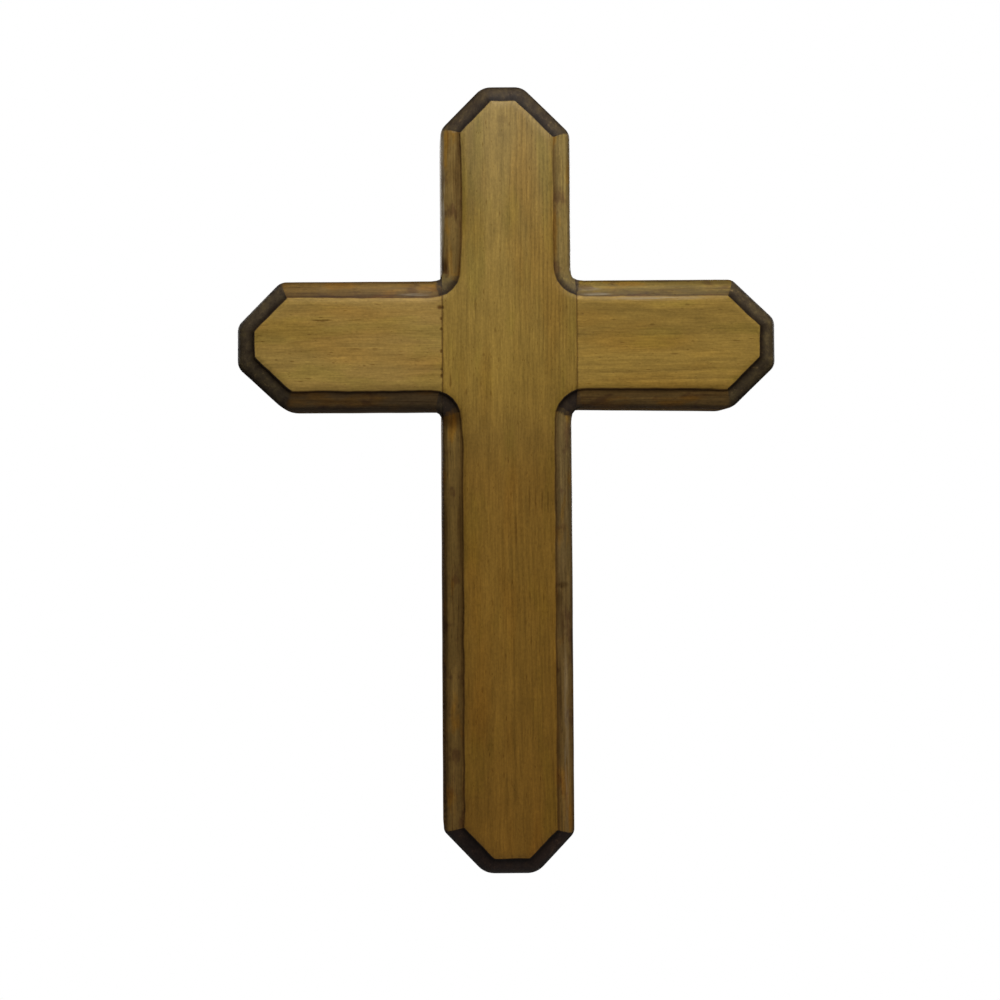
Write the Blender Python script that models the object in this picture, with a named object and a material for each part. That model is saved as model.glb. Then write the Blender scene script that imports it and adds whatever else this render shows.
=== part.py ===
"""Wall cross: two pine boards halved together, with a moulding routed round the front.

The front faces -Y and the flat back lies on y = 0. The origin is on the back, at the middle of
the crossing. +Z points to the head and +X to the right of someone facing the cross. Metres.
"""
import math
from collections import namedtuple

import bmesh
import bpy
from mathutils import Vector

# The two boards
BOARD_WIDTH = 0.0635
BOARD_THICKNESS = 0.019
HEAD_RISE = 0.127
FOOT_DROP = 0.2565
LEFT_REACH = 0.1314
RIGHT_REACH = 0.1308

# The right arm's lower edge was trimmed slightly askew: it lies this much higher at the crossing
RIGHT_ARM_TRIM = 0.0010

# Each end has both its corners sawn off: "along" runs with the board, "across" over its width.
# Sanding rounds the cut's two corners, tip_round at the board's end and edge_round at its edge.
EndCut = namedtuple("EndCut", "along across tip_round edge_round")
HEAD_LEFT_CUT = EndCut(along=0.0209, across=0.0207, tip_round=0.0095, edge_round=0.0075)
HEAD_RIGHT_CUT = EndCut(along=0.0230, across=0.0232, tip_round=0.0095, edge_round=0.0070)
LEFT_UPPER_CUT = EndCut(along=0.0211, across=0.0214, tip_round=0.0070, edge_round=0.0070)
LEFT_LOWER_CUT = EndCut(along=0.0235, across=0.0215, tip_round=0.0075, edge_round=0.0130)
FOOT_LEFT_CUT = EndCut(along=0.0205, across=0.0199, tip_round=0.0110, edge_round=0.0045)
FOOT_RIGHT_CUT = EndCut(along=0.0196, across=0.0184, tip_round=0.0110, edge_round=0.0055)
RIGHT_LOWER_CUT = EndCut(along=0.0215, across=0.0209, tip_round=0.0065, edge_round=0.0105)
RIGHT_UPPER_CUT = EndCut(along=0.0206, across=0.0198, tip_round=0.0070, edge_round=0.0050)

# The four inner corners. The wood meets there almost sharply, but the router's bearing is round
# and stays out of the corner, so the moulding sweeps past it on a wider arc.
InnerCut = namedtuple("InnerCut", "wood_round bearing_radius")
HEAD_LEFT_INNER = InnerCut(wood_round=0.0015, bearing_radius=0.0049)
HEAD_RIGHT_INNER = InnerCut(wood_round=0.0024, bearing_radius=0.0062)
FOOT_LEFT_INNER = InnerCut(wood_round=0.0024, bearing_radius=0.0049)
FOOT_RIGHT_INNER = InnerCut(wood_round=0.0044, bearing_radius=0.0066)

# The routed moulding: a square step down from the face, then a slope that falls ever more steeply
# to the outer edge. BEVEL_SHARE of its fall is a straight bevel and the rest a quarter of an
# ellipse. The face's own edge is eased by sanding.
MOULD_WIDTH = 0.0089
MOULD_DEPTH = 0.0068
BEVEL_SHARE = 0.45
STEP_DEPTH = 0.0013
FACE_EASE_WIDTH = 0.0020
FACE_EASE_DEPTH = 0.0005
BACK_EASE = 0.0006
SHARPEST_ROUND = 0.0012

# The halved joint: the upright's front half runs through the crossing, the crossbar's back half
# runs behind it. Within the arms' width the upright stops just short of its own left edge, and
# a strip of it is left standing outside its right edge.
JOINT_GAP = 0.0003
LEFT_SHOULDER_INSET = 0.0004
RIGHT_SHOULDER_OUTSET = 0.0017

# A blind hole in the back of the head, for the head of a nail or a screw
HANG_HOLE_RADIUS = 0.004
HANG_HOLE_DEPTH = 0.010
HANG_HOLE_BELOW_TOP = 0.040
HANG_HOLE_SIDES = 24

# How many flats stand for each curve
ARC_STEPS = 6
ELLIPSE_STEPS = 5
EASE_STEPS = 2

# How far a cutting block reaches past the wood
CLEAR = 0.010

# Stained pine, a little darker on the crossbar
UPRIGHT_COLOUR = (0.20, 0.13, 0.045, 1.0)
CROSSBAR_COLOUR = (0.18, 0.11, 0.038, 1.0)
WOOD_ROUGHNESS = 0.45

HALF_WIDTH = BOARD_WIDTH / 2

# A corner of the outline: its point, its rounding in the wood and, for an inner corner, the
# radius of the bearing that rolled past it
Corner = namedtuple("Corner", "point wood_round bearing_radius")


def end_corners(tip, direction, first_cut, second_cut):
    """The four corners of one limb's end, clockwise as seen from the front."""
    side = Vector((direction.z, 0.0, -direction.x))
    edge = side * HALF_WIDTH
    return [
        Corner(tip - edge - direction * first_cut.along, first_cut.edge_round, None),
        Corner(tip - edge + side * first_cut.across, first_cut.tip_round, None),
        Corner(tip + edge - side * second_cut.across, second_cut.tip_round, None),
        Corner(tip + edge - direction * second_cut.along, second_cut.edge_round, None),
    ]


def inner_corner(x_sign, z_sign, inner_cut, trim=0.0):
    point = Vector((x_sign * HALF_WIDTH, 0.0, z_sign * HALF_WIDTH + trim))
    return Corner(point, inner_cut.wood_round, inner_cut.bearing_radius)


def outline_corners():
    """All twenty corners of the cross, clockwise as seen from the front, from the head."""
    up = Vector((0.0, 0.0, 1.0))
    right = Vector((1.0, 0.0, 0.0))
    corners = end_corners(up * HEAD_RISE, up, HEAD_LEFT_CUT, HEAD_RIGHT_CUT)
    corners.append(inner_corner(1, 1, HEAD_RIGHT_INNER))
    corners += end_corners(right * RIGHT_REACH, right, RIGHT_UPPER_CUT, RIGHT_LOWER_CUT)
    corners.append(inner_corner(1, -1, FOOT_RIGHT_INNER, trim=RIGHT_ARM_TRIM))
    corners += end_corners(-up * FOOT_DROP, -up, FOOT_RIGHT_CUT, FOOT_LEFT_CUT)
    corners.append(inner_corner(-1, -1, FOOT_LEFT_INNER))
    corners += end_corners(-right * LEFT_REACH, -right, LEFT_LOWER_CUT, LEFT_UPPER_CUT)
    corners.append(inner_corner(-1, 1, HEAD_LEFT_INNER))
    return corners


def inward_normal(start, end):
    run = (end - start).normalized()
    return Vector((run.z, 0.0, -run.x))


def offset_meeting(point, first, second, offset):
    """Where two edges meet once both are moved by offset along their inward normals."""
    bisector = (first + second).normalized()
    return point + bisector * (offset / bisector.dot(first))


def outer_corner_rows(corner, first, second):
    """Rows of the profile round an outer corner, whose rounding shrinks towards the face."""
    rows = []
    for step in range(ARC_STEPS + 1):
        normal = first.slerp(second, step / ARC_STEPS)

        def place(inset, normal=normal):
            radius = max(corner.wood_round - inset, SHARPEST_ROUND)
            centre = offset_meeting(corner.point, first, second, inset + radius)
            return centre - normal * radius

        rows.append(profile_row(place, 0.0))
    return rows


def wall_distance(corner, first, second, normal):
    """How far the wood's wall is from the bearing's centre, in the direction of normal."""
    bearing = offset_meeting(corner.point, first, second, -corner.bearing_radius)
    straight = corner.bearing_radius / max(normal.dot(first), normal.dot(second))
    if (bearing + normal * straight - corner.point).length >= corner.wood_round:
        return straight
    to_centre = offset_meeting(corner.point, first, second, -corner.wood_round) - bearing
    reach = to_centre.dot(normal)
    off_line = to_centre.length_squared - reach ** 2
    return reach + math.sqrt(max(corner.wood_round ** 2 - off_line, 0.0))


def inner_corner_rows(corner, first, second):
    """Rows of the profile round an inner corner.

    They all lie on rays from the bearing's centre. Where the wall is out of the bearing's
    reach, the moulding starts part of the way up its curve, so the wall stands higher there.
    """
    bearing = offset_meeting(corner.point, first, second, -corner.bearing_radius)
    rows = []
    for step in range(ARC_STEPS + 1):
        normal = first.slerp(second, step / ARC_STEPS)

        def place(inset, normal=normal):
            return bearing + normal * (corner.bearing_radius + inset)

        wall = wall_distance(corner, first, second, normal)
        rows.append(profile_row(place, max(wall - corner.bearing_radius, 0.0)))
    return rows


def at_depth(point, depth):
    """A point moved to a depth below the front face."""
    return Vector((point.x, depth - BOARD_THICKNESS, point.z))


def profile_row(place, wall_inset):
    """The board's profile at one place of the outline, from the back's edge to the face.

    place turns a distance inwards from the bearing's line into a point. wall_inset is where the
    wall stands: 0, or more in an inner corner.
    """
    row = [
        at_depth(place(wall_inset + BACK_EASE), BOARD_THICKNESS),
        at_depth(place(wall_inset), BOARD_THICKNESS - BACK_EASE),
    ]
    quarter = math.pi / 2
    start = math.acos(1 - wall_inset / MOULD_WIDTH)
    for step in range(ELLIPSE_STEPS + 1):
        angle = start + (quarter - start) * step / ELLIPSE_STEPS
        inset = MOULD_WIDTH * (1 - math.cos(angle))
        fall = BEVEL_SHARE * math.cos(angle) + (1 - BEVEL_SHARE) * (1 - math.sin(angle))
        row.append(at_depth(place(inset), STEP_DEPTH + fall * (MOULD_DEPTH - STEP_DEPTH)))
    for step in range(EASE_STEPS + 1):
        angle = quarter * step / EASE_STEPS
        inset = MOULD_WIDTH + FACE_EASE_WIDTH * (1 - math.cos(angle))
        row.append(at_depth(place(inset), FACE_EASE_DEPTH * (1 - math.sin(angle))))
    return row


def whole_cross_mesh(name):
    """The cross as one closed mesh, before it is parted into its two boards."""
    corners = outline_corners()
    rows = []
    for index, corner in enumerate(corners):
        following = corners[(index + 1) % len(corners)]
        first = inward_normal(corners[index - 1].point, corner.point)
        second = inward_normal(corner.point, following.point)
        if corner.bearing_radius is None:
            rows += outer_corner_rows(corner, first, second)
        else:
            rows += inner_corner_rows(corner, first, second)

    shape = bmesh.new()
    columns = [[shape.verts.new(point) for point in row] for row in rows]
    for index, column in enumerate(columns):
        previous = columns[index - 1]
        for level in range(len(column) - 1):
            shape.faces.new((previous[level], previous[level + 1], column[level + 1], column[level]))
    shape.faces.new([column[0] for column in columns])
    shape.faces.new([column[-1] for column in reversed(columns)])
    bmesh.ops.recalc_face_normals(shape, faces=shape.faces)
    mesh = bpy.data.meshes.new(name)
    shape.to_mesh(mesh)
    shape.free()
    return mesh


def add_object(name, mesh):
    piece = bpy.data.objects.new(name, mesh)
    bpy.context.collection.objects.link(piece)
    return piece


def make_cutter(piece):
    piece.hide_render = True
    piece.display_type = "WIRE"
    return piece


def rectangle(y_range, z_range):
    front, back = y_range
    low, high = z_range
    return [(front, low), (front, high), (back, high), (back, low)]


def add_prism(name, x_range, section):
    """A cutting block with the given section in Y and Z, standing between two limits of X."""
    shape = bmesh.new()
    ends = [[shape.verts.new((x, y, z)) for y, z in section] for x in x_range]
    for index in range(len(section)):
        low, high = ends
        shape.faces.new((low[index - 1], low[index], high[index], high[index - 1]))
    for end in ends:
        shape.faces.new(end)
    bmesh.ops.recalc_face_normals(shape, faces=shape.faces)
    mesh = bpy.data.meshes.new(name)
    shape.to_mesh(mesh)
    shape.free()
    return make_cutter(add_object(name, mesh))


def cut(piece, cutter):
    modifier = piece.modifiers.new(cutter.name, "BOOLEAN")
    modifier.operation = "DIFFERENCE"
    modifier.object = cutter


def wood_material(name, colour):
    material = bpy.data.materials.new(name)
    material.use_nodes = True
    shader = material.node_tree.nodes["Principled BSDF"]
    shader.inputs["Base Color"].default_value = colour
    shader.inputs["Roughness"].default_value = WOOD_ROUGHNESS
    shader.inputs["Metallic"].default_value = 0.0
    return material


def add_board(name, colour):
    piece = add_object(name, whole_cross_mesh(name))
    piece.data.shade_smooth()
    piece.data.set_sharp_from_angle(angle=math.radians(25))
    piece.data.materials.append(wood_material(name + "_pine", colour))
    return piece


def build_boards():
    """Part the cross into its two boards, with half the joint's gap taken off each."""
    grow = JOINT_GAP / 2
    middle = -BOARD_THICKNESS / 2
    through = (-BOARD_THICKNESS - CLEAR, CLEAR)
    height = (-FOOT_DROP - CLEAR, HEAD_RISE + CLEAR)
    left = -HALF_WIDTH + LEFT_SHOULDER_INSET
    right = HALF_WIDTH + RIGHT_SHOULDER_OUTSET
    arm_top = HALF_WIDTH + HEAD_LEFT_INNER.wood_round
    arm_bottom = -HALF_WIDTH - FOOT_LEFT_INNER.wood_round

    upright = add_board("upright", UPRIGHT_COLOUR)
    cut(upright, add_prism(
        "left_arm_clearance", (-LEFT_REACH - CLEAR, left + grow),
        rectangle(through, (arm_bottom - grow, arm_top + grow))))
    cut(upright, add_prism(
        "right_arm_clearance", (right - grow, RIGHT_REACH + CLEAR),
        rectangle(through, (-HALF_WIDTH - CLEAR, HALF_WIDTH + CLEAR))))
    cut(upright, add_prism(
        "crossbar_housing", (left - CLEAR, right + CLEAR),
        rectangle((middle - grow, CLEAR), (-HALF_WIDTH - grow, HALF_WIDTH + grow))))
    cut(upright, hanging_hole_drill())

    crossbar = add_board("crossbar", CROSSBAR_COLOUR)
    upright_section = [
        (through[0], height[0]),
        (through[0], height[1]),
        (CLEAR, height[1]),
        (CLEAR, HALF_WIDTH - grow),
        (middle + grow, HALF_WIDTH - grow),
        (middle + grow, -HALF_WIDTH + grow),
        (CLEAR, -HALF_WIDTH + grow),
        (CLEAR, height[0]),
    ]
    cut(crossbar, add_prism("upright_housing", (left - grow, right + grow), upright_section))
    for name, limits in (
        ("head_edge_clearance", (arm_top - grow, height[1])),
        ("foot_edge_clearance", (height[0], arm_bottom + grow)),
    ):
        cut(crossbar, add_prism(name, (-HALF_WIDTH - CLEAR, left), rectangle(through, limits)))


def hanging_hole_drill():
    shape = bmesh.new()
    bmesh.ops.create_cone(
        shape, cap_ends=True, segments=HANG_HOLE_SIDES,
        radius1=HANG_HOLE_RADIUS, radius2=HANG_HOLE_RADIUS, depth=HANG_HOLE_DEPTH + CLEAR)
    mesh = bpy.data.meshes.new("hanging_hole_drill")
    shape.to_mesh(mesh)
    shape.free()
    drill = make_cutter(add_object("hanging_hole_drill", mesh))
    drill.rotation_euler = (math.radians(90), 0.0, 0.0)
    drill.location = (0.0, (CLEAR - HANG_HOLE_DEPTH) / 2, HEAD_RISE - HANG_HOLE_BELOW_TOP)
    return drill


for leftover in list(bpy.data.objects):
    bpy.data.objects.remove(leftover)
build_boards()
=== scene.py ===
# Looks for a plain wooden wall cross: two pine boards, halved together, stained and varnished.
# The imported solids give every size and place, and this script never moves or resizes them.
import math

import bpy
from mathutils import Matrix, Vector, kdtree, noise


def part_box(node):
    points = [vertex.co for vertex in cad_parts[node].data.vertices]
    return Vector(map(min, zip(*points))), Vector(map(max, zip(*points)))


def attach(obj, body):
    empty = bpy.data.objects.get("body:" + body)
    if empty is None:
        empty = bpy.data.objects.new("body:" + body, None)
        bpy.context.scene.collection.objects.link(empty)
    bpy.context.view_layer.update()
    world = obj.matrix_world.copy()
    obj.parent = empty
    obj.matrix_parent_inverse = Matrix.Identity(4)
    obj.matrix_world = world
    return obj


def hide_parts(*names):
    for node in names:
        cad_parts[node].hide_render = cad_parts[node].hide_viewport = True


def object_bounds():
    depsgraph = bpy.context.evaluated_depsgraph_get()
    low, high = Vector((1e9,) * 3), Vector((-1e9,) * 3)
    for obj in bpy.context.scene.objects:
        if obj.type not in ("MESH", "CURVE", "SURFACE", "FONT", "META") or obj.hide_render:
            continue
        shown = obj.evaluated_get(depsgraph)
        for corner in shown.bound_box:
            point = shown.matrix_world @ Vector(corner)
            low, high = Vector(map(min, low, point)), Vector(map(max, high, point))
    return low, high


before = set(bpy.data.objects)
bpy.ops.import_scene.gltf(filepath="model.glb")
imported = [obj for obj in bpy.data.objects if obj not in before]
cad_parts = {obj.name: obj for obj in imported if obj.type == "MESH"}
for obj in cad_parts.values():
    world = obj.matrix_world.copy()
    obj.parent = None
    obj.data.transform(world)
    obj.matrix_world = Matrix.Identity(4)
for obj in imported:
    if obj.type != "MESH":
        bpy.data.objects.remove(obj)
cad_low, cad_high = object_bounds()
scene = bpy.context.scene

# The camera
# It stands 43 cm in front of the face, a little to the left of the upright and below the
# crossing, and looks almost straight ahead. The frame is shifted to take in the whole cross.
CAMERA_PLACE = Vector((-0.04536, -0.44822, -0.07303))
CAMERA_TURN_LEFT = math.radians(0.345)
CAMERA_LOOK_UP = math.radians(0.725)
CAMERA_TIP_RIGHT = math.radians(0.270)
CAMERA_LENS_MM = 32.17
CAMERA_SENSOR_MM = 36
CAMERA_SHIFT = (0.0914, -0.0158)

bpy.ops.object.camera_add(location=CAMERA_PLACE)
camera = bpy.context.object
camera.name = "camera"
camera.rotation_euler = (
    Matrix.Rotation(CAMERA_TURN_LEFT, 3, "Z")
    @ Matrix.Rotation(CAMERA_LOOK_UP, 3, "X")
    @ Matrix.Rotation(CAMERA_TIP_RIGHT, 3, "Y")
    @ Matrix.Rotation(math.radians(90), 3, "X")
).to_euler()
camera.data.lens = CAMERA_LENS_MM
camera.data.sensor_width = CAMERA_SENSOR_MM
camera.data.shift_x, camera.data.shift_y = CAMERA_SHIFT
scene.camera = camera

# The studio
# A soft light hangs above and in front of the head, so the light falls off towards the foot. Two
# more stand behind, for the back and the sides. The floor is pale, and all beyond it plain white.
KEY_PLACE = Vector((0.17, -0.62, 0.76))
KEY_AIM = Vector((0.0, 0.0, -0.02))
KEY_SIZE = 0.45
KEY_POWER = 10.0
KEY_COLOUR = (1.0, 0.985, 0.96)
BACK_LEFT_PLACE = Vector((-0.85, 0.90, 0.45))
BACK_RIGHT_PLACE = Vector((0.85, 0.90, 0.30))
BACK_AIM = Vector((0, 0, -0.05))
BACK_SIZE = 0.8
BACK_POWER = 14.0
AMBIENT_COLOUR = (1.0, 0.97, 0.93, 1.0)
AMBIENT_STRENGTH = 0.05
FLOOR_TOP = -1.00
FLOOR_WIDTH = 12.0
FLOOR_FRONT = -8.0
FLOOR_BACK = 0.70
FLOOR_COLOUR = (0.62, 0.61, 0.59, 1.0)
FLOOR_SEEN_COLOUR = (0.965, 0.960, 0.952, 1.0)
FLOOR_ROUGHNESS = 0.9
WHITE = (1, 1, 1, 1)


def add_soft_light(name, place, aim, size, power, colour):
    """A square area light that faces the point it is aimed at."""
    bpy.ops.object.light_add(type="AREA", location=place)
    light = bpy.context.object
    light.name = name
    light.rotation_euler = (aim - place).to_track_quat("-Z", "Y").to_euler()
    light.data.shape = "SQUARE"
    light.data.size = size
    light.data.energy = power
    light.data.color = colour


add_soft_light("key_light", KEY_PLACE, KEY_AIM, KEY_SIZE, KEY_POWER, KEY_COLOUR)
add_soft_light("back_left_light", BACK_LEFT_PLACE, BACK_AIM, BACK_SIZE, BACK_POWER, WHITE[:3])
add_soft_light("back_right_light", BACK_RIGHT_PLACE, BACK_AIM, BACK_SIZE, BACK_POWER, WHITE[:3])


def seen_plain(tree, lit, plain, output_name):
    """The camera sees the plain shader, and everything else is lit by the other one."""
    ray_kind = tree.nodes.new("ShaderNodeLightPath")
    seen_or_lit = tree.nodes.new("ShaderNodeMixShader")
    tree.links.new(ray_kind.outputs["Is Camera Ray"], seen_or_lit.inputs[0])
    tree.links.new(lit.outputs[0], seen_or_lit.inputs[1])
    tree.links.new(plain.outputs[0], seen_or_lit.inputs[2])
    tree.links.new(seen_or_lit.outputs[0], tree.nodes[output_name].inputs["Surface"])


world = bpy.data.worlds.new("studio_white")
world.use_nodes = True
scene.world = world
ambient = world.node_tree.nodes["Background"]
ambient.inputs["Color"].default_value = AMBIENT_COLOUR
ambient.inputs["Strength"].default_value = AMBIENT_STRENGTH
backdrop = world.node_tree.nodes.new("ShaderNodeBackground")
backdrop.inputs["Color"].default_value = WHITE
seen_plain(world.node_tree, ambient, backdrop, "World Output")
scene.view_settings.view_transform = "Standard"
scene.view_settings.look = "None"

bpy.ops.mesh.primitive_plane_add(size=1)
floor = bpy.context.object
floor.name = "floor"
floor.data.transform(Matrix.Diagonal((FLOOR_WIDTH, FLOOR_BACK - FLOOR_FRONT, 1, 1)))
floor.data.transform(Matrix.Translation((0, (FLOOR_BACK + FLOOR_FRONT) / 2, FLOOR_TOP)))
floor_paint = bpy.data.materials.new("pale_floor")
floor_paint.use_nodes = True
floor_shader = floor_paint.node_tree.nodes["Principled BSDF"]
floor_shader.inputs["Base Color"].default_value = FLOOR_COLOUR
floor_shader.inputs["Roughness"].default_value = FLOOR_ROUGHNESS
floor_glow = floor_paint.node_tree.nodes.new("ShaderNodeEmission")
floor_glow.inputs["Color"].default_value = FLOOR_SEEN_COLOUR
seen_plain(floor_paint.node_tree, floor_shader, floor_glow, "Material Output")
floor.data.materials.append(floor_paint)

# The upright
# One long pine board, sawn off at 45 degrees at its four corners. Its front edge is routed with a
# stepped, rounded moulding that runs into both arms through the four inner corners.
FACE_Y = cad_low.y
MOULD_WIDTH = 0.0089
STEP_FOOT_DEPTH = 0.0013
ARRIS_DEPTH = 0.0068
BEVEL_SHARE = 0.45
EASE_WIDTH = 0.0020
EASE_DEPTH = 0.0005
FRONT_EDGE_INSET = MOULD_WIDTH + EASE_WIDTH
SEAM_LEFT_X = -0.03135
SEAM_RIGHT_X = 0.03345
SEAM_HALF_HEIGHT = 0.0335
SAME_POINT = 0.00001
SPACING_ALONG = 0.0016
SPACING_ACROSS = 0.00105
SPACING_IN_WALL = 0.003
FLAT_ANGLE = math.radians(0.5)
FACES_FRONT = -0.9999
RIM_WIDTH = 0.0037
RIM_DEPTH = 0.00086
LEFT_STEP_SHIFT = 0.0009
LEFT_STEP_ENDS = (-0.238, -0.034, 0.034, 0.108)
LEFT_STEP_BLEND = 0.016
EDGE_WAVE = 0.00008
EDGE_WAVE_MEAN = 1.1
EDGE_WAVES_PER_METRE = 60
EDGE_WAVE_LAYER = 8.7
SIDEWAYS_ENOUGH = 0.05
STEP_WOBBLE = 0.00045
STEP_WOBBLES_PER_METRE = 60
STEP_RIPPLES_PER_METRE = 190
SEAM_CLOSED_BY = 0.0001
SEAM_FACE_REACH = 0.0004
SEAM_CALM_REACH = 0.0012
FACE_WAVE = 0.00006
FACE_WAVES_ACROSS = 55
FACE_WAVES_ALONG = 22
FACE_WAVE_LAYER = 3.1
CRISP_ANGLE = math.radians(34)


def moulding_inset(point):
    """How far in from the outer edge a point of the routed front edge lies, below zero on the wall."""
    depth = point.y - FACE_Y
    if depth >= ARRIS_DEPTH:
        return ARRIS_DEPTH - depth
    if depth > STEP_FOOT_DEPTH:
        fall = (depth - STEP_FOOT_DEPTH) / (ARRIS_DEPTH - STEP_FOOT_DEPTH)
        reach = math.hypot(BEVEL_SHARE, 1 - BEVEL_SHARE)
        slant = math.atan2(1 - BEVEL_SHARE, BEVEL_SHARE)
        angle = math.acos(max(-1.0, min(1.0, (fall + BEVEL_SHARE - 1) / reach))) - slant
        return MOULD_WIDTH * (1 - math.cos(angle))
    if depth > EASE_DEPTH:
        return MOULD_WIDTH
    rise = 1 - depth / EASE_DEPTH
    return MOULD_WIDTH + EASE_WIDTH * (1 - math.sqrt(max(0.0, 1 - rise * rise)))


def saw_across(axis, low, high, spacing):
    """Cuts the board being edited with evenly spaced planes, so that it can be worn and waved."""
    count = max(1, round((high - low) / spacing))
    normal = Vector((0, 0, 0))
    normal[axis] = 1
    for i in range(1, count):
        bpy.ops.mesh.select_all(action="SELECT")
        bpy.ops.mesh.bisect(plane_co=normal * (low + (high - low) * i / count), plane_no=normal)


def board_from_solid(node_name, name, along):
    """A copy of a board's solid, merged into whole faces and cut finely enough to be worn."""
    bpy.ops.object.select_all(action="DESELECT")
    board = bpy.data.objects.new(name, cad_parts[node_name].data.copy())
    bpy.context.collection.objects.link(board)
    bpy.context.view_layer.objects.active = board
    board.select_set(True)
    board.data.materials.clear()
    if board.data.has_custom_normals:
        bpy.ops.mesh.customdata_custom_splitnormals_clear()
    bpy.ops.object.mode_set(mode="EDIT")
    bpy.ops.mesh.select_all(action="SELECT")
    bpy.ops.mesh.remove_doubles(threshold=SAME_POINT)
    bpy.ops.mesh.dissolve_limited(angle_limit=FLAT_ANGLE)
    bpy.ops.object.mode_set(mode="OBJECT")
    inset = board.data.attributes.new("inset", "FLOAT", "POINT")
    for i, vertex in enumerate(board.data.vertices):
        inset.data[i].value = moulding_inset(vertex.co)
    low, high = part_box(node_name)
    across = 2 - along
    bpy.ops.object.mode_set(mode="EDIT")
    saw_across(along, low[along], high[along], SPACING_ALONG)
    saw_across(across, low[across], high[across], SPACING_ACROSS)
    saw_across(1, FACE_Y + ARRIS_DEPTH, high.y, SPACING_IN_WALL)
    bpy.ops.object.mode_set(mode="OBJECT")
    return board


def near_seam(point, reach):
    """True close to the two joint lines beside the upright."""
    beside = min(abs(point.x - SEAM_LEFT_X), abs(point.x - SEAM_RIGHT_X)) < reach
    return beside and abs(point.z) < SEAM_HALF_HEIGHT


def left_step_shift(point, inset):
    """How far the step on the upright's left side was routed in past the other steps."""
    if point.x > 0 or point.x < cad_low.x / 2:
        return 0.0
    foot, lower, upper, head = LEFT_STEP_ENDS
    run = max(min(point.z - foot, lower - point.z), min(point.z - upper, head - point.z))
    share = max(0.0, min(1.0, run / LEFT_STEP_BLEND))
    share *= share * (3 - 2 * share)
    if inset < MOULD_WIDTH:
        share *= max(0.0, inset / MOULD_WIDTH)
    else:
        share *= max(0.0, 1 - (inset - MOULD_WIDTH) / MOULD_WIDTH)
    return LEFT_STEP_SHIFT * share


def wave_at(point, across, along, layer):
    """A smooth random wave over the front, with so many waves to the metre each way."""
    return noise.noise(Vector((point.x * across, layer, point.z * along)))


def step_wobble(point, inset):
    """The small sideways waver of the step, where the router was pushed along by hand."""
    share = inset / MOULD_WIDTH if inset < MOULD_WIDTH else 2 - inset / MOULD_WIDTH
    aside = Vector((0, 0, 0))
    for per_metre, strength, x_layer, z_layer in (
        (STEP_WOBBLES_PER_METRE, 1.0, 1.7, 9.4),
        (STEP_RIPPLES_PER_METRE, 0.5, 4.6, 6.1),
    ):
        aside.x += strength * wave_at(point, per_metre, per_metre, x_layer)
        aside.z += strength * wave_at(point, per_metre, per_metre, z_layer)
    return aside * STEP_WOBBLE * max(0.0, min(1.0, share))


def wear_by_hand(board):
    """Rounds the front's rim and gives the walls the slight waves of handwork, always inwards."""
    mesh = board.data
    inset = mesh.attributes["inset"]
    off_front = set()
    for face in mesh.polygons:
        if face.normal.y > FACES_FRONT and face.center.y < FACE_Y + EASE_DEPTH:
            off_front.update(face.vertices)
    rim_points = [
        mesh.vertices[i].co.copy()
        for i in off_front
        if abs(mesh.vertices[i].co.y - FACE_Y) < SAME_POINT
        and not near_seam(mesh.vertices[i].co, SEAM_FACE_REACH)
    ]
    rim = kdtree.KDTree(len(rim_points))
    for i, point in enumerate(rim_points):
        rim.insert(point, i)
    rim.balance()
    moved = []
    for vertex in mesh.vertices:
        point = vertex.co.copy()
        if abs(point.y - FACE_Y) < SAME_POINT:
            inset.data[vertex.index].value = FRONT_EDGE_INSET + rim.find(point)[2]
        inset_here = inset.data[vertex.index].value
        if inset_here > MOULD_WIDTH - SAME_POINT:
            rise = max(0.0, 1 - (inset_here - MOULD_WIDTH) / RIM_WIDTH)
            wave = wave_at(point, FACE_WAVES_ACROSS, FACE_WAVES_ALONG, FACE_WAVE_LAYER)
            rounded = RIM_DEPTH * rise * rise + FACE_WAVE * (1 + wave)
            point.y = max(point.y, FACE_Y + rounded)
        elif not near_seam(point, SEAM_CALM_REACH):
            side = Vector((vertex.normal.x, 0, vertex.normal.z))
            if side.length > SIDEWAYS_ENOUGH:
                wave = wave_at(point, EDGE_WAVES_PER_METRE, EDGE_WAVES_PER_METRE, EDGE_WAVE_LAYER)
                point -= side.normalized() * EDGE_WAVE * max(0.0, EDGE_WAVE_MEAN + wave)
        if near_seam(point, SEAM_FACE_REACH):
            seam_x = SEAM_LEFT_X if point.x < 0 else SEAM_RIGHT_X
            point.x += math.copysign(SEAM_CLOSED_BY, seam_x - point.x)
        elif not near_seam(point, SEAM_CALM_REACH):
            point += step_wobble(point, inset_here)
        if board.name == "upright_board":
            point.x += left_step_shift(point, inset_here)
        moved.append(point)
    for vertex, point in zip(mesh.vertices, moved):
        vertex.co = point


def smooth_by_hand(board):
    """Smooth shading, with only the step and the sawn edges left crisp."""
    bpy.ops.object.select_all(action="DESELECT")
    board.select_set(True)
    bpy.context.view_layer.objects.active = board
    bpy.ops.object.shade_smooth_by_angle(angle=CRISP_ANGLE)


def add_node(tree, kind, sockets=None, **settings):
    """A shader node with its settings made and its sockets set or linked."""
    made = tree.nodes.new("ShaderNode" + kind)
    for name, value in settings.items():
        setattr(made, name, value)
    for name, value in (sockets or {}).items():
        if isinstance(value, bpy.types.NodeSocket):
            tree.links.new(value, made.inputs[name])
        else:
            made.inputs[name].default_value = value
    return made


def calc(tree, operation, first, second=0.0, third=0.0):
    """One step of arithmetic."""
    sockets = {0: first, 1: second, 2: third}
    return add_node(tree, "Math", sockets, operation=operation).outputs[0]


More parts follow.
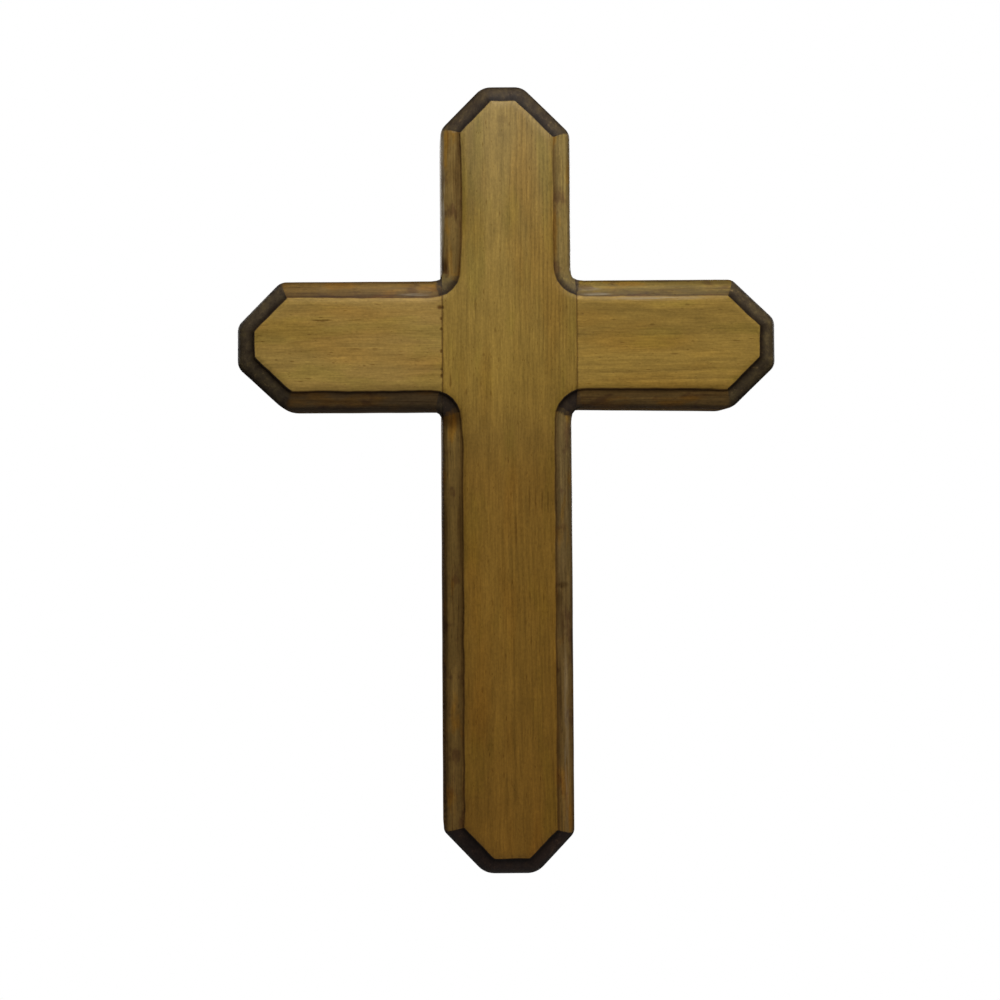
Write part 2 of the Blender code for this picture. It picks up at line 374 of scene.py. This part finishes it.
def join(tree, operation, first, second):
    """One step of arithmetic on places."""
    return add_node(tree, "VectorMath", {0: first, 1: second}, operation=operation).outputs[0]


def fade(tree, value, start, end, low=0.0, high=1.0):
    """Goes smoothly from low, where the value is at start, to high, where it is at end."""
    sockets = {"Value": value, "From Min": start, "From Max": end, "To Min": low, "To Max": high}
    return add_node(tree, "MapRange", sockets, interpolation_type="SMOOTHSTEP").outputs[0]


def cloud(tree, place, per_metre, detail=2.0, roughness=0.5):
    """Noise from 0 to 1, with so many features to the metre along each axis."""
    sockets = {
        "Vector": join(tree, "MULTIPLY", place, per_metre),
        "Scale": 1.0,
        "Detail": detail,
        "Roughness": roughness,
    }
    return add_node(tree, "TexNoise", sockets).outputs["Fac"]


def lighten(tree, value, least, most):
    """Turns a value from 0 to 1 into a share of brightness between two limits."""
    return calc(tree, "MULTIPLY_ADD", value, most - least, least)


def ramp(tree, value, stops, low=None, high=None):
    """A row of colours: stops are pairs of a value and a colour, from the lowest value up."""
    low = stops[0][0] if low is None else low
    high = stops[-1][0] if high is None else high
    spread = add_node(
        tree, "MapRange", {"Value": value, "From Min": low, "From Max": high}, clamp=True
    )
    made = add_node(tree, "ValToRGB", {"Fac": spread.outputs[0]})
    elements = made.color_ramp.elements
    while len(elements) < len(stops):
        elements.new(0.5)
    for element, (value_there, colour) in zip(elements, stops):
        element.position = (value_there - low) / (high - low)
        element.color = (*colour, 1)
    return made.outputs["Color"]


def mix(tree, how, share, below, above):
    """Two colours put together by a share from 0 to 1."""
    made = add_node(tree, "Mix", {0: share, 6: below, 7: above}, data_type="RGBA", blend_type=how)
    return made.outputs[2]


RING_SWAY = (0.010, 0.008, 0.0)
RING_SWAYS_PER_METRE = (12, 12, 4)
RING_QUIVER = 0.55
RING_QUIVERS_PER_METRE = (380, 380, 60)
LATE_WOOD_RISE = (0.25, 0.80)
LATE_WOOD_END = (1.0, 0.86)
RING_PATCHES_PER_METRE = (60, 60, 9)
RING_PATCH_FADE = (0.38, 0.62, 0.10, 1.0)


def growth_rings(tree, grain, pith, ring_width):
    """How far a point lies into the dark late wood of its ring, round a pith that wanders."""
    sway = add_node(
        tree, "TexNoise",
        {"Vector": join(tree, "MULTIPLY", grain, RING_SWAYS_PER_METRE), "Scale": 1.0, "Detail": 1.0},
    ).outputs["Color"]
    sway = join(tree, "SUBTRACT", sway, (0.5, 0.5, 0.5))
    sway = join(tree, "MULTIPLY", sway, RING_SWAY)
    from_pith = join(tree, "SUBTRACT", join(tree, "MULTIPLY", grain, (1, 1, 0)), (*pith, 0))
    from_pith = join(tree, "ADD", from_pith, sway)
    radius = add_node(tree, "VectorMath", {0: from_pith}, operation="LENGTH").outputs["Value"]
    rings = calc(tree, "DIVIDE", radius, ring_width)
    quiver = cloud(tree, grain, RING_QUIVERS_PER_METRE, 2.0)
    ring = calc(tree, "FRACT", calc(tree, "MULTIPLY_ADD", quiver, RING_QUIVER, rings))
    late = calc(
        tree, "MULTIPLY", fade(tree, ring, *LATE_WOOD_RISE), fade(tree, ring, *LATE_WOOD_END)
    )
    strength = fade(tree, cloud(tree, grain, RING_PATCHES_PER_METRE, 1.0), *RING_PATCH_FADE)
    return calc(tree, "MULTIPLY", late, strength)


FLECK_FADE = (0.05, 0.19, 1.0, 0.0)
FLECK_LOT_FADE = 0.2


def short_flecks(tree, grain, cells_per_metre, kept_from):
    """Short dark dashes along the grain, where resin canals took more stain."""
    cells = add_node(
        tree, "TexVoronoi",
        {"Vector": join(tree, "MULTIPLY", grain, cells_per_metre), "Scale": 1.0},
    ).outputs
    dash = fade(tree, cells["Distance"], *FLECK_FADE)
    lot = add_node(tree, "SeparateXYZ", {0: cells["Color"]}).outputs[0]
    return calc(tree, "MULTIPLY", dash, fade(tree, lot, kept_from, kept_from + FLECK_LOT_FADE))


MM = 0.001
MARK_FADE = (0.35, 1.35)


def placed_mark(tree, spot, across, along, half_width, half_length, strength):
    """One dash, streak or speck, at a place and of a size in millimetres; the pale ones are partly
    painted sheen.
    """
    away = join(tree, "SUBTRACT", spot, (across * MM, along * MM, 0))
    away = join(tree, "DIVIDE", away, (half_width * MM, half_length * MM, 1))
    distance = add_node(tree, "VectorMath", {0: away}, operation="LENGTH").outputs["Value"]
    return fade(tree, distance, *MARK_FADE, strength, 0.0)


SEAM_LEFT_DARKNESS = 0.55
SEAM_RIGHT_DARKNESS = 0.45
SEAM_DIRT_RAGGED = (-0.00040, 0.00060)
SEAM_DIRT_FADE = (0.00010, 0.00070)
SEAM_END_FADE = 0.0005


def seam_dirt(tree, x, z, ragged):
    """Dark dirt and stain in the two joint lines, a little heavier on the left."""
    beside = []
    for seam_x, darkness in (
        (SEAM_LEFT_X, SEAM_LEFT_DARKNESS),
        (SEAM_RIGHT_X, SEAM_RIGHT_DARKNESS),
    ):
        away = calc(tree, "ABSOLUTE", calc(tree, "SUBTRACT", x, seam_x))
        away = calc(tree, "SUBTRACT", away, lighten(tree, ragged, *SEAM_DIRT_RAGGED))
        beside.append(fade(tree, away, *SEAM_DIRT_FADE, darkness, 0.0))
    height = calc(tree, "ABSOLUTE", z)
    within = fade(tree, height, SEAM_HALF_HEIGHT, SEAM_HALF_HEIGHT - SEAM_END_FADE)
    return calc(tree, "MULTIPLY", calc(tree, "MAXIMUM", *beside), within)


# How the stain takes on the moulding, by how far in from the outer edge: greyed on the wall, a dark
# line along the arris, even over the curve, then darker towards the step and darkest in it, which is
# stain gathered in the step together with painted shade of the step
MOULDING_STAIN_AND_STEP_SHADE = [
    (-0.0040, (0.80, 0.78, 0.76)),
    (-0.0014, (0.70, 0.68, 0.67)),
    (-0.0003, (0.44, 0.42, 0.43)),
    (0.0003, (0.46, 0.43, 0.44)),
    (0.0010, (0.52, 0.50, 0.50)),
    (0.0017, (0.84, 0.84, 0.84)),
    (0.0028, (1.08, 1.08, 1.06)),
    (0.0046, (1.12, 1.12, 1.12)),
    (0.0060, (1.02, 1.02, 1.02)),
    (0.0072, (0.84, 0.82, 0.80)),
    (0.0080, (0.70, 0.65, 0.60)),
    (0.0086, (0.50, 0.42, 0.34)),
    (0.0092, (0.50, 0.42, 0.34)),
    (0.0098, (1.0, 1.0, 1.0)),
]
MOULDING_RAGGED = (-0.0004, 0.0004)
# Where the painted light on the moulding's lit right or upper side begins and is full, across the
# board
LIT_SIDE_FADE = (-0.004, 0.004)
BAND_BEND = (-0.004, 0.004)
END_GRAIN_COLOURS = [
    (0.30, (0.50, 0.45, 0.50)),
    (0.48, (0.88, 0.85, 0.88)),
    (0.60, (1.15, 1.12, 1.00)),
    (0.74, (1.75, 1.70, 1.50)),
]
END_GRAIN_DUST = (2.1, 2.0, 1.8, 1)
END_GRAIN_TURN = (0.20, 0.50)
NEVER_ZERO = 0.0001
# Painted shade next to the step on the sawn ends
END_STEP_SHADE = (0.62, 0.60, 0.62, 1)
END_STEP_SHADE_FADE = (0.0056, 0.0082)
DARK_FLECK = (0.62, 0.55, 0.42, 1)
DARK_MARK = (0.34, 0.25, 0.14, 1)
# Pale marks: painted varnish sheen and glints on the moulding, and pale streaks in the stain
PALE_STREAK_AND_SHEEN = (0.36, 0.31, 0.22, 1)
MARK_SHAKE = (-0.0005, 0.0005)
SEAM_DIRT = (0.30, 0.19, 0.10, 1)
BACK_STAIN = (0.86, 0.88, 1.05, 1)

# Where the front, the back, the sawn ends, the wall and the dirt begin and are full, as insets
BACK_INSET = ARRIS_DEPTH + FACE_Y
FRONT_FADE = (MOULD_WIDTH + 0.0001, MOULD_WIDTH + 0.0009)
BACK_FADE = (BACK_INSET + 0.0007, BACK_INSET + 0.0002)
END_FADE = (MOULD_WIDTH + 0.0010, MOULD_WIDTH + 0.0004)
WALL_FADE = (-0.0012, 0.0)
DIRT_FADE = (-0.0035, -0.0027)

# The patterns in the wood: how many features to the metre across, through and along the grain,
# with how much detail and how rough
PATTERNS = {
    "broad": ((70, 40, 3.0), 2.0, 0.5),
    "streak": ((480, 300, 22), 2.0, 0.6),
    "fibre": ((1100, 700, 65), 2.0, 0.6),
    "thread": ((2600, 1600, 200), 2.0, 0.6),
    "speckle": ((900, 900, 600), 2.0, 0.6),
    "ragged": ((300, 300, 300), 2.0, 0.5),
    "blot": ((200, 200, 75), 3.0, 0.6),
    "red": ((60, 60, 12), 2.0, 0.5),
    "green": ((90, 90, 24), 2.0, 0.5),
    "vein": ((520, 420, 17), 2.0, 0.6),
    "blotch": ((150, 150, 80), 3.0, 0.6),
    "warm": ((160, 160, 50), 2.0, 0.5),
    "mottle": ((230, 230, 180), 3.0, 0.68),
    "dust": ((700, 700, 480), 2.0, 0.6),
}
FLECK_CELLS = [((620, 300, 105), 0.60), ((980, 500, 240), 0.55)]

# How much the patterns darken and lighten the stain
PATTERN_LIGHT = {
    "broad": (0.88, 1.12),
    "streak": (0.84, 1.16),
    "fibre": (0.71, 1.29),
    "thread": (0.78, 1.22),
    "speckle": (0.72, 1.28),
    "blot": (0.75, 1.25),
}
LATE_WOOD_LIGHT = (1.04, 0.85)

# Tints of the front and of the moulding, by pattern, where they begin and are full, and colour
FRONT_TINTS = [
    ("red", 0.48, 0.68, (1.03, 0.95, 0.82, 1)),
    ("green", 0.52, 0.70, (0.96, 1.01, 0.90, 1)),
]
MOULDING_TINTS = [
    ("vein", 0.46, 0.34, (0.72, 0.66, 0.62, 1)),
    ("vein", 0.54, 0.66, (1.30, 1.30, 1.25, 1)),
    ("blotch", 0.53, 0.68, (0.66, 0.58, 0.66, 1)),
    ("warm", 0.52, 0.70, (1.25, 1.05, 0.62, 1)),
]
# How the grain breaks up the pale streaks and the painted sheen
PALE_STREAK_AND_SHEEN_GRAIN = (0.30, 0.60)
DUST_FADE = (0.54, 0.72)
DUST_PATCH_FADE = (0.40, 0.62)

# The varnish, and how far the grain, the marks and the sawn ends stand up or lie in under it
FIBRE_HEIGHT = 0.8
LATE_WOOD_HEIGHT = -0.4
FLECK_HEIGHT = -1.0
MARK_HEIGHT = -1.5
END_GRAIN_HEIGHT = 3.0
GRAIN_BUMP = {"Strength": 0.4, "Distance": 0.00010}
VARNISH_ROUGHNESS = (0.42, 0.56)
END_GRAIN_ROUGHER = 0.1
VARNISH_SPECULAR = 0.12

CHATTER_PITCH = 0.0024
CHATTER_RAGGED = 1.6
CHATTER_RISE = (0.15, 0.45)
CHATTER_FALL = (0.95, 0.65)
CHATTER_INNER_X = -0.0302
CHATTER_WIDTH = 0.0008
CHATTER_TOP_Z = -0.050
CHATTER_ONSET = 0.006
CHATTER_DARKNESS = 0.75


def router_chatter(tree, across, length, ragged):
    """Small dark scallops down the upright's left edge, where the router stuttered."""
    beat = calc(tree, "DIVIDE", length, CHATTER_PITCH)
    beat = calc(tree, "FRACT", calc(tree, "MULTIPLY_ADD", ragged, CHATTER_RAGGED, beat))
    scallop = calc(tree, "MULTIPLY", fade(tree, beat, *CHATTER_RISE), fade(tree, beat, *CHATTER_FALL))
    at_edge = fade(tree, across, CHATTER_INNER_X, CHATTER_INNER_X - CHATTER_WIDTH)
    below = fade(tree, length, CHATTER_TOP_Z, CHATTER_TOP_Z - CHATTER_ONSET, 0.0, CHATTER_DARKNESS)
    return calc(tree, "MULTIPLY", calc(tree, "MULTIPLY", scallop, at_edge), below)


def stained_pine(name, along, pith, ring_width, tones, marks, pale_streaks_and_sheen, seed):
    """Pine, stained by hand and varnished, whose grain runs along the board it is cut into."""
    material = bpy.data.materials.new(name)
    material.use_nodes = True
    tree = material.node_tree
    shader = tree.nodes["Principled BSDF"]
    apart = add_node(
        tree, "SeparateXYZ", {0: add_node(tree, "TexCoord").outputs["Object"]}
    ).outputs
    across, length = apart[2 - along], apart[along]
    grain = add_node(tree, "CombineXYZ", {0: across, 1: apart[1], 2: length}).outputs[0]
    elsewhere = join(tree, "ADD", grain, (seed, seed, seed))
    pattern = {kind: cloud(tree, elsewhere, *how) for kind, how in PATTERNS.items()}
    late = growth_rings(tree, grain, pith, ring_width)
    fleck = 0.0
    for cells_per_metre, kept_from in FLECK_CELLS:
        more = short_flecks(tree, elsewhere, cells_per_metre, kept_from)
        fleck = calc(tree, "MAXIMUM", fleck, more)
    inset = add_node(tree, "Attribute", attribute_name="inset").outputs["Fac"]
    on_front = fade(tree, inset, *FRONT_FADE)
    on_back = fade(tree, inset, *BACK_FADE)
    off_wall = fade(tree, inset, *WALL_FADE)

    # The stain on the flat front and back, with a painted sheen in the bands across the upright's
    # front
    front = ramp(tree, length, tones["front"])
    bent = calc(tree, "ADD", across, lighten(tree, pattern["broad"], *BAND_BEND))
    # Bands across the front; on the upright they are partly a painted sheen
    front = mix(tree, "MULTIPLY", 1.0, front, ramp(tree, bent, tones["bands_and_sheen"]))
    for kind, start, full, tint in FRONT_TINTS:
        front = mix(tree, "MULTIPLY", fade(tree, pattern[kind], start, full), front, tint)
    front = mix(tree, "MULTIPLY", on_back, front, BACK_STAIN)

    # The stain on the routed moulding, with painted light on its lit side and painted shade in the
    # step
    ragged_inset = calc(tree, "ADD", inset, lighten(tree, pattern["ragged"], *MOULDING_RAGGED))
    stain_and_step_shade = ramp(tree, ragged_inset, MOULDING_STAIN_AND_STEP_SHADE)
    edge = ramp(tree, length, tones["edge"])
    painted_lit_side = ramp(tree, length, tones["painted_lit_side"])
    # Painted light: the moulding's right side on the upright and upper side on the crossbar, lit by
    # the lamp, made paler
    edge = mix(tree, "MULTIPLY", fade(tree, across, *LIT_SIDE_FADE), edge, painted_lit_side)
    # The stain across the moulding, darkened towards the step by painted shade
    edge = mix(tree, "MULTIPLY", 1.0, edge, stain_and_step_shade)
    for kind, start, full, tint in MOULDING_TINTS:
        edge = mix(tree, "MULTIPLY", fade(tree, pattern[kind], start, full), edge, tint)

    # How the grain takes the stain on both
    wood = mix(tree, "MIX", calc(tree, "MAXIMUM", on_front, on_back), edge, front)
    light = lighten(tree, late, *LATE_WOOD_LIGHT)
    for kind, limits in PATTERN_LIGHT.items():
        light = calc(tree, "MULTIPLY", light, lighten(tree, pattern[kind], *limits))
    wood = join(tree, "MULTIPLY", wood, light)
    wood = mix(tree, "MULTIPLY", fleck, wood, DARK_FLECK)

    # The marks that show one by one, the pale ones partly painted sheen, and the dirt in the joint
    # lines
    shake = lighten(tree, pattern["thread"], *MARK_SHAKE)
    spot = add_node(
        tree, "CombineXYZ",
        {0: calc(tree, "ADD", across, shake), 1: calc(tree, "ADD", length, shake)},
    ).outputs[0]
    marked = 0.0
    for place_and_size in marks:
        marked = calc(tree, "MAXIMUM", marked, placed_mark(tree, spot, *place_and_size))
    if along == 2:
        chatter = router_chatter(tree, across, length, pattern["ragged"])
        marked = calc(tree, "MAXIMUM", marked, chatter)
    marked = calc(tree, "MULTIPLY", marked, off_wall)
    wood = mix(tree, "MULTIPLY", marked, wood, DARK_MARK)
    # Pale marks, partly painted sheen and glints on the moulding
    pale_and_sheen_share = 0.0
    for place_and_size in pale_streaks_and_sheen:
        pale_and_sheen_share = calc(tree, "MAXIMUM", pale_and_sheen_share, placed_mark(tree, spot, *place_and_size))
    pale_and_sheen_share = calc(tree, "MULTIPLY", pale_and_sheen_share, fade(tree, pattern["fibre"], *PALE_STREAK_AND_SHEEN_GRAIN))
    pale_and_sheen_share = calc(tree, "MULTIPLY", pale_and_sheen_share, off_wall)
    wood = mix(tree, "MIX", pale_and_sheen_share, wood, PALE_STREAK_AND_SHEEN)
    dirt = seam_dirt(tree, apart[0], apart[2], pattern["ragged"])
    dirt = calc(tree, "MULTIPLY", dirt, fade(tree, inset, *DIRT_FADE))
    wood = mix(tree, "MULTIPLY", dirt, wood, SEAM_DIRT)

    # Sawn ends drink the most stain, and pale dust stays in their pores
    facing = add_node(
        tree, "SeparateXYZ", {0: add_node(tree, "NewGeometry").outputs["Normal"]}
    ).outputs
    sideways = calc(tree, "MULTIPLY_ADD", facing[2], facing[2], NEVER_ZERO)
    sideways = calc(tree, "MULTIPLY_ADD", facing[0], facing[0], sideways)
    sideways = calc(tree, "POWER", sideways, 0.5)
    end_on = calc(tree, "ABSOLUTE", calc(tree, "DIVIDE", facing[along], sideways))
    end_on = fade(tree, end_on, *END_GRAIN_TURN)
    end_on = calc(tree, "MULTIPLY", end_on, fade(tree, inset, *END_FADE))
    end_colour = ramp(tree, pattern["mottle"], END_GRAIN_COLOURS, 0.0, 1.0)
    end_colour = mix(tree, "MULTIPLY", 1.0, ramp(tree, length, tones["end"]), end_colour)
    # The same stain and painted step shade on the sawn ends
    end_colour = mix(tree, "MULTIPLY", 1.0, end_colour, stain_and_step_shade)
    # Painted shade next to the step on the sawn ends, towards the face
    step_shade_share = fade(tree, ragged_inset, *END_STEP_SHADE_FADE)
    end_colour = mix(tree, "MULTIPLY", step_shade_share, end_colour, END_STEP_SHADE)
    dust = fade(tree, pattern["dust"], *DUST_FADE)
    dust = calc(tree, "MULTIPLY", dust, fade(tree, pattern["blot"], *DUST_PATCH_FADE))
    dust = calc(tree, "MULTIPLY", dust, off_wall)
    end_colour = mix(tree, "MULTIPLY", dust, end_colour, END_GRAIN_DUST)
    wood = mix(tree, "MIX", end_on, wood, end_colour)
    tree.links.new(wood, shader.inputs["Base Color"])

    # Satin varnish over raised grain
    height = 0.0
    for raised, how_far in (
        (pattern["fibre"], FIBRE_HEIGHT),
        (late, LATE_WOOD_HEIGHT),
        (fleck, FLECK_HEIGHT),
        (marked, MARK_HEIGHT),
        (calc(tree, "MULTIPLY", pattern["mottle"], end_on), END_GRAIN_HEIGHT),
    ):
        height = calc(tree, "MULTIPLY_ADD", raised, how_far, height)
    bump = add_node(tree, "Bump", {"Height": height, **GRAIN_BUMP})
    tree.links.new(bump.outputs["Normal"], shader.inputs["Normal"])
    rough = lighten(tree, pattern["fibre"], *VARNISH_ROUGHNESS)
    rough = calc(tree, "MULTIPLY_ADD", end_on, END_GRAIN_ROUGHER, rough)
    tree.links.new(rough, shader.inputs["Roughness"])
    shader.inputs["Specular IOR Level"].default_value = VARNISH_SPECULAR
    return material


UPRIGHT_PITH = (-0.015, 0.020)
UPRIGHT_RING_WIDTH = 0.0013
UPRIGHT_SEED = 0.0

# The stain by place, with some painted light: along the front; in bands across it, which on the
# upright also carry a painted sheen; along the moulding; how much paler painted light makes the
# moulding's right or upper side, which faces the lamp; and along the sawn ends
UPRIGHT_TONES = {
    "front": [
        (cad_low.z, (0.263, 0.130, 0.0190)),
        (-0.110, (0.266, 0.145, 0.0235)),
        (-0.064, (0.242, 0.132, 0.0225)),
        (-0.045, (0.250, 0.145, 0.0275)),
        (-0.015, (0.321, 0.199, 0.0370)),
        (0.060, (0.301, 0.196, 0.0450)),
        (cad_high.z, (0.309, 0.212, 0.0660)),
    ],
    # Across the front: the bright middle and the darker right side are a painted sheen
    "bands_and_sheen": [
        (-0.032, (1.05, 1.05, 1.02)),
        (-0.023, (0.97, 0.97, 0.95)),
        (-0.017, (0.96, 0.96, 0.95)),
        (-0.011, (1.05, 1.05, 1.06)),
        (-0.004, (1.06, 1.06, 1.07)),
        (0.003, (0.99, 0.99, 0.99)),
        (0.011, (0.98, 0.97, 0.95)),
        (0.017, (0.94, 0.93, 0.90)),
        (0.024, (0.90, 0.89, 0.86)),
    ],
    "edge": [
        (cad_low.z, (0.195, 0.112, 0.0300)),
        (-0.080, (0.169, 0.102, 0.0270)),
        (0.050, (0.236, 0.149, 0.0440)),
        (cad_high.z, (0.252, 0.164, 0.0500)),
    ],
    # Painted light on the moulding's right side, which faces the lamp
    "painted_lit_side": [
        (cad_low.z, (1.00, 0.94, 0.78)),
        (-0.080, (0.95, 1.03, 1.42)),
        (0.050, (1.06, 1.15, 1.24)),
        (cad_high.z, (1.06, 1.15, 1.24)),
    ],
    "end": [
        (cad_low.z, (0.030, 0.0172, 0.0125)),
        (-0.200, (0.030, 0.0172, 0.0125)),
        (-0.050, (0.040, 0.0280, 0.0210)),
        (0.020, (0.050, 0.0370, 0.0250)),
        (0.034, (0.185, 0.1350, 0.0470)),
        (0.070, (0.185, 0.1350, 0.0470)),
        (0.096, (0.058, 0.0420, 0.0240)),
        (cad_high.z, (0.051, 0.0360, 0.0200)),
    ],
}

# Marks in millimetres: place across and along, half the width, half the length, and darkness
UPRIGHT_DASH_ROW = [(6, 0.30), (10, 0.45), (13, 0.40), (16, 0.35), (19, 0.35)]
UPRIGHT_MARKS = [
    (-15.5, 18.5, 0.5, 3.2, 0.40),
    (-6.0, 6.5, 0.5, 1.4, 0.35),
    (-11.5, -5.5, 0.7, 1.0, 0.35),
    (-8.0, -6.5, 0.6, 0.8, 0.30),
    (-4.5, -8.0, 0.5, 1.2, 0.35),
    (-27.5, -18.0, 0.6, 3.6, 0.55),
    (-20.0, -23.5, 0.6, 1.6, 0.40),
    (-13.0, -19.5, 0.5, 1.2, 0.35),
    (3.5, -90.0, 0.5, 9.0, 0.42),
    (-8.0, -124.5, 0.5, 2.0, 0.40),
    (10.0, -121.5, 0.5, 2.2, 0.40),
    (16.5, -122.5, 0.4, 2.6, 0.35),
    (8.0, -134.0, 0.4, 2.0, 0.35),
    (10.5, -143.0, 0.4, 2.4, 0.40),
    (14.5, -148.0, 0.4, 2.0, 0.35),
    (-13.0, -166.5, 0.5, 1.8, 0.40),
    (-3.0, -207.0, 0.4, 1.8, 0.40),
    (0.5, -210.5, 0.4, 1.6, 0.35),
    (-1.5, 108.5, 3.4, 2.4, 0.18),
    (16.5, -15.0, 15.0, 15.0, 0.09),
    (-30.6, -140.0, 1.5, 120.0, 0.35),
    (24.0, -123.0, 1.8, 5.0, 0.50),
    (25.8, -116.5, 3.2, 1.7, 0.62),
    (25.0, 86.0, 2.4, 7.5, 0.32),
    (-27.5, 84.0, 3.0, 6.0, 0.28),
    (-27.5, -35.0, 5.5, 7.0, 0.85),
    (-31.0, 17.5, 0.7, 1.0, 0.90),
    (-30.2, 38.5, 1.5, 4.5, 0.85),
    (-30.4, 31.5, 2.2, 4.0, 0.60),
] + [(across, -75.5, 0.5, 7.2, darkness) for across, darkness in UPRIGHT_DASH_ROW]
# Pale marks: the first is a painted sheen along the upright's left arris; the others are pale streaks
# in the stain
UPRIGHT_PALE_STREAKS_AND_SHEEN = [
    (-31.0, 74.0, 1.2, 36.0, 0.80),
    (27.5, -190.0, 1.3, 50.0, 0.24),
    (-25.5, 104.0, 2.2, 1.4, 0.40),
]
upright_board = board_from_solid("upright", "upright_board", 2)
wear_by_hand(upright_board)
smooth_by_hand(upright_board)
upright_board.data.materials.append(
    stained_pine(
        "upright_stained_pine", 2, UPRIGHT_PITH, UPRIGHT_RING_WIDTH, UPRIGHT_TONES,
        UPRIGHT_MARKS, UPRIGHT_PALE_STREAKS_AND_SHEEN, UPRIGHT_SEED,
    )
)
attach(upright_board, "root")
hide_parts("upright")

# The crossbar
# A shorter board of the same pine, let in behind the upright so that only its two arms show at
# the front. Its ends are sawn off like the upright's, and the same moulding runs round them.
CROSSBAR_PITH = (0.012, 0.030)
CROSSBAR_RING_WIDTH = 0.0021
CROSSBAR_SEED = 3.3
CROSSBAR_TONES = {
    "front": [
        (cad_low.x, (0.350, 0.226, 0.0560)),
        (-0.040, (0.360, 0.229, 0.0600)),
        (0.040, (0.335, 0.209, 0.0420)),
        (cad_high.x, (0.324, 0.202, 0.0410)),
    ],
    "bands_and_sheen": [
        (-0.024, (1.04, 1.03, 1.02)),
        (-0.008, (1.03, 1.03, 1.03)),
        (0.004, (0.98, 0.98, 0.98)),
        (0.024, (0.99, 0.98, 0.96)),
    ],
    "edge": [
        (cad_low.x, (0.094, 0.0580, 0.0240)),
        (-0.040, (0.104, 0.0650, 0.0275)),
        (0.040, (0.158, 0.0920, 0.0272)),
        (cad_high.x, (0.149, 0.0875, 0.0272)),
    ],
    # Painted light on the moulding's upper side, which the lamp above lights
    "painted_lit_side": [
        (cad_low.x, (1.72, 1.61, 0.90)),
        (-0.040, (1.72, 1.61, 0.90)),
        (0.040, (1.31, 1.46, 0.82)),
        (cad_high.x, (1.31, 1.46, 0.82)),
    ],
    "end": [
        (cad_low.x, (0.075, 0.0570, 0.0315)),
        (-0.040, (0.055, 0.0400, 0.0260)),
        (0.040, (0.066, 0.0490, 0.0310)),
        (cad_high.x, (0.072, 0.0530, 0.0270)),
    ],
}
CROSSBAR_MARKS = [
    (11.5, -89.5, 0.5, 5.2, 0.75),
    (11.5, -73.5, 0.4, 5.0, 0.30),
    (5.5, -85.0, 0.4, 4.5, 0.35),
    (0.5, -102.0, 0.5, 4.2, 0.30),
    (-2.5, -73.0, 0.4, 3.0, 0.30),
    (-2.5, -64.0, 0.8, 1.4, 0.35),
    (-7.5, -111.5, 0.5, 0.7, 0.40),
    (-9.0, -84.0, 0.5, 0.8, 0.40),
    (-8.5, -78.0, 0.4, 0.7, 0.35),
    (-10.5, -69.0, 0.5, 0.8, 0.45),
    (-4.0, -85.0, 0.4, 0.8, 0.30),
    (-4.5, -105.0, 0.4, 0.9, 0.30),
    (-16.5, -96.0, 0.5, 1.9, 0.45),
    (17.5, -32.4, 1.1, 1.6, 1.0),
    (12.0, -31.8, 0.9, 0.9, 0.9),
    (7.0, -31.8, 0.9, 0.9, 0.9),
    (-3.5, -31.8, 1.1, 0.8, 0.9),
    (-12.5, -31.8, 0.8, 0.8, 0.8),
    (-15.5, -31.8, 1.1, 0.8, 0.9),
    (18.0, 86.5, 0.5, 1.4, 0.45),
    (8.5, 69.5, 0.5, 1.3, 0.40),
    (-5.5, 80.0, 0.5, 2.1, 0.40),
    (0.5, 110.0, 0.4, 2.1, 0.40),
    (0.5, 89.0, 0.4, 0.9, 0.35),
    (-3.5, 86.5, 0.5, 0.8, 0.35),
    (-10.5, 110.5, 0.5, 0.8, 0.35),
    (-10.0, 93.5, 1.6, 5.0, 0.14),
]
# Pale marks: painted varnish sheen on the arms' upper moulding bands, mostly near the crossing, with
# pale streaks in the stain
CROSSBAR_PALE_STREAKS_AND_SHEEN = [
    (26.5, 39.5, 0.9, 6.0, 0.40),
    (23.8, 43.0, 0.7, 7.0, 0.62),
    (21.4, 72.0, 1.1, 22.0, 0.45),
    (24.0, -45.0, 0.8, 7.0, 0.45),
]
crossbar_board = board_from_solid("crossbar", "crossbar_board", 0)
wear_by_hand(crossbar_board)
smooth_by_hand(crossbar_board)
crossbar_board.data.materials.append(
    stained_pine(
        "crossbar_stained_pine", 0, CROSSBAR_PITH, CROSSBAR_RING_WIDTH, CROSSBAR_TONES,
        CROSSBAR_MARKS, CROSSBAR_PALE_STREAKS_AND_SHEEN, CROSSBAR_SEED,
    )
)
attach(crossbar_board, "root")
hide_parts("crossbar")
